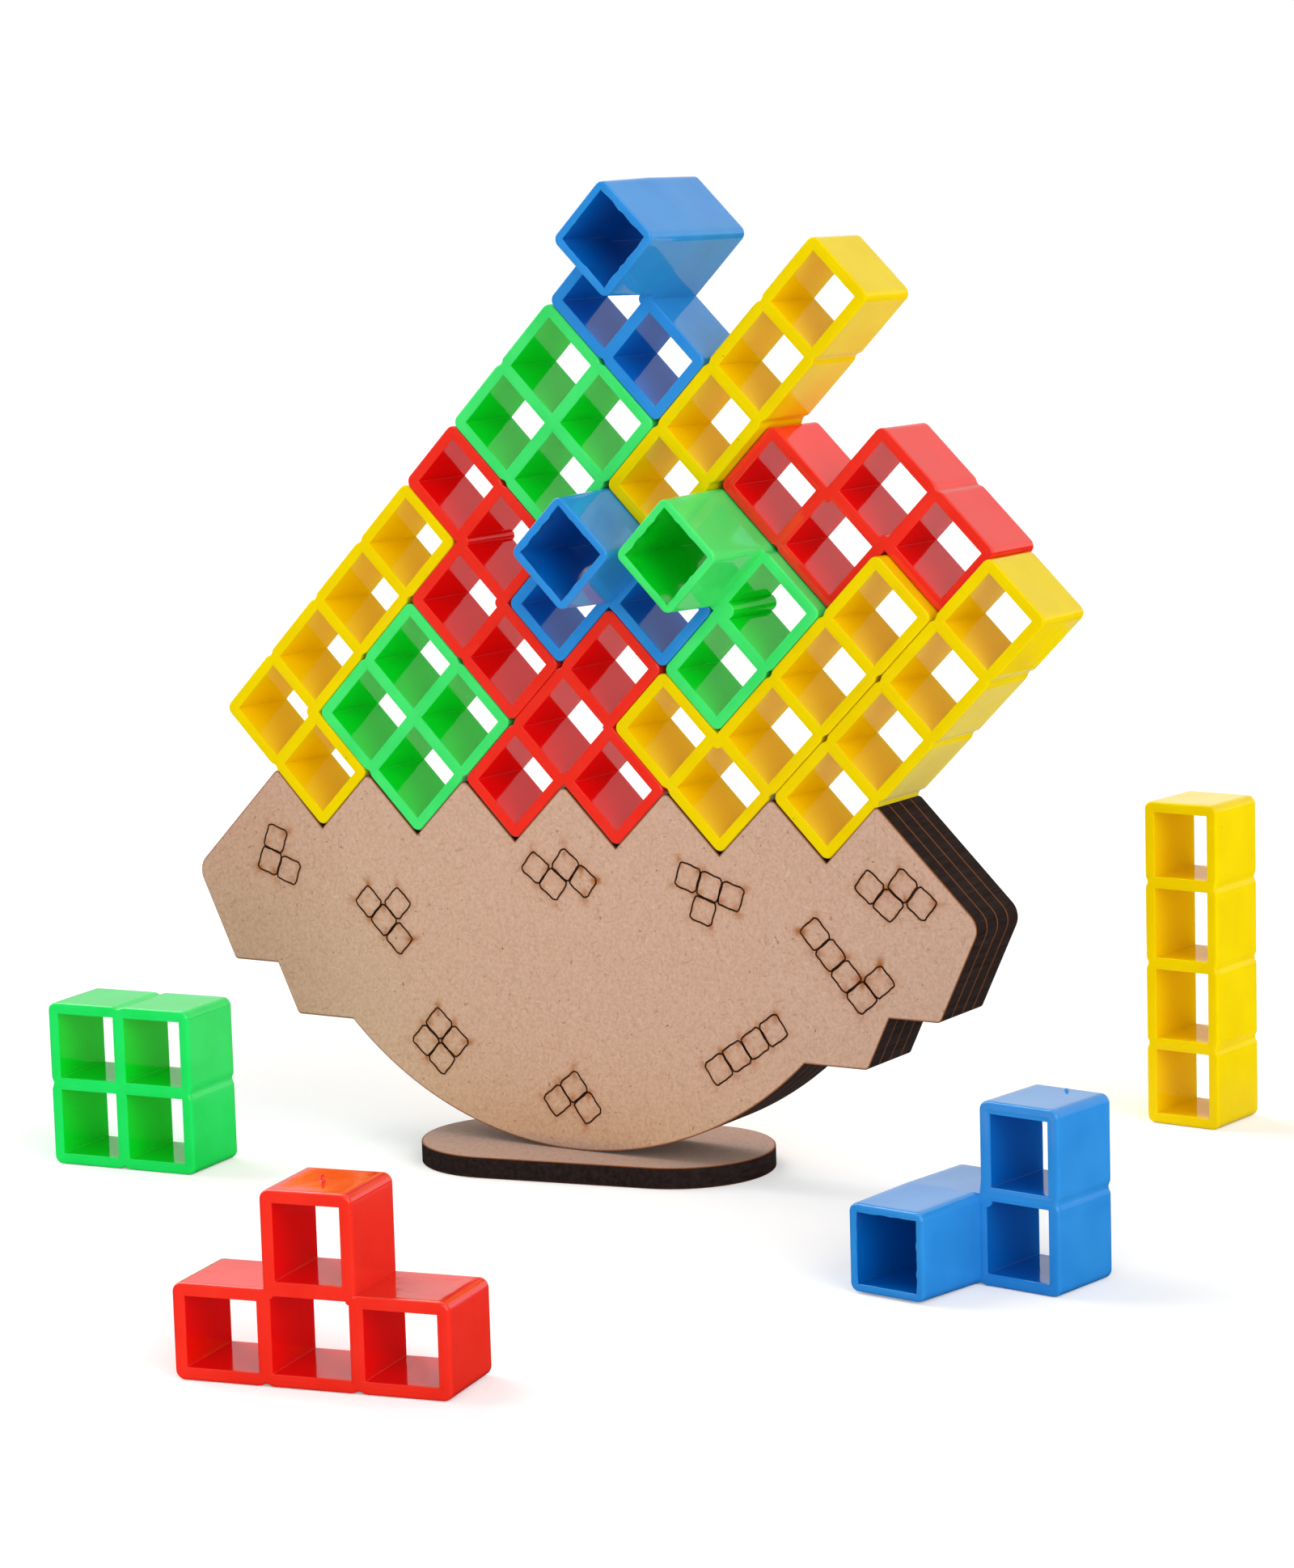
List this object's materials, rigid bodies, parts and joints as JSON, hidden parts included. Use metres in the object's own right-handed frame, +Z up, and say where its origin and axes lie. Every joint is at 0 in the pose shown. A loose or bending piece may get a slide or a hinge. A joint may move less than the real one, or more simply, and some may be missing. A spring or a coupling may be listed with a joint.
{
  "type": "stacking balance game",
  "caption": "Balance game: hollow plastic polyomino blocks stacked in the notches of a laser-cut board rocker that balances on an oval foot plate, with loose blocks beside it.",
  "frame": {"origin": "middle of the foot plate's underside, on the table", "axes": "+X along the rocker to the right as seen from its front, +Y from its front sheet to its back sheet, +Z up"},
  "size_m": [0.2092, 0.2294, 0.1749],
  "materials": {
    "board": "fibreboard, satin faces and laser-charred edges",
    "yellow_plastic": "gloss",
    "green_plastic": "gloss",
    "red_plastic": "gloss",
    "blue_plastic": "gloss"
  },
  "bodies": {
    "root": {"foot_plate": "board", "rocker_front_sheet": "board", "rocker_second_sheet": "board", "rocker_third_sheet": "board", "rocker_back_sheet": "board", "yellow_ell_left": "yellow_plastic", "yellow_ell_right": "yellow_plastic", "yellow_bar_lower": "yellow_plastic", "yellow_bar_upper": "yellow_plastic", "loose_yellow_bar": "yellow_plastic", "green_square_lower": "green_plastic", "green_screw": "green_plastic", "green_square_upper": "green_plastic", "loose_green_square": "green_plastic", "red_tee_middle": "red_plastic", "red_zigzag_left": "red_plastic", "red_zigzag_right": "red_plastic", "loose_red_tee": "red_plastic", "blue_tripod": "blue_plastic", "blue_screw_top": "blue_plastic", "loose_blue_screw": "blue_plastic"}
  },
  "joints": []
}
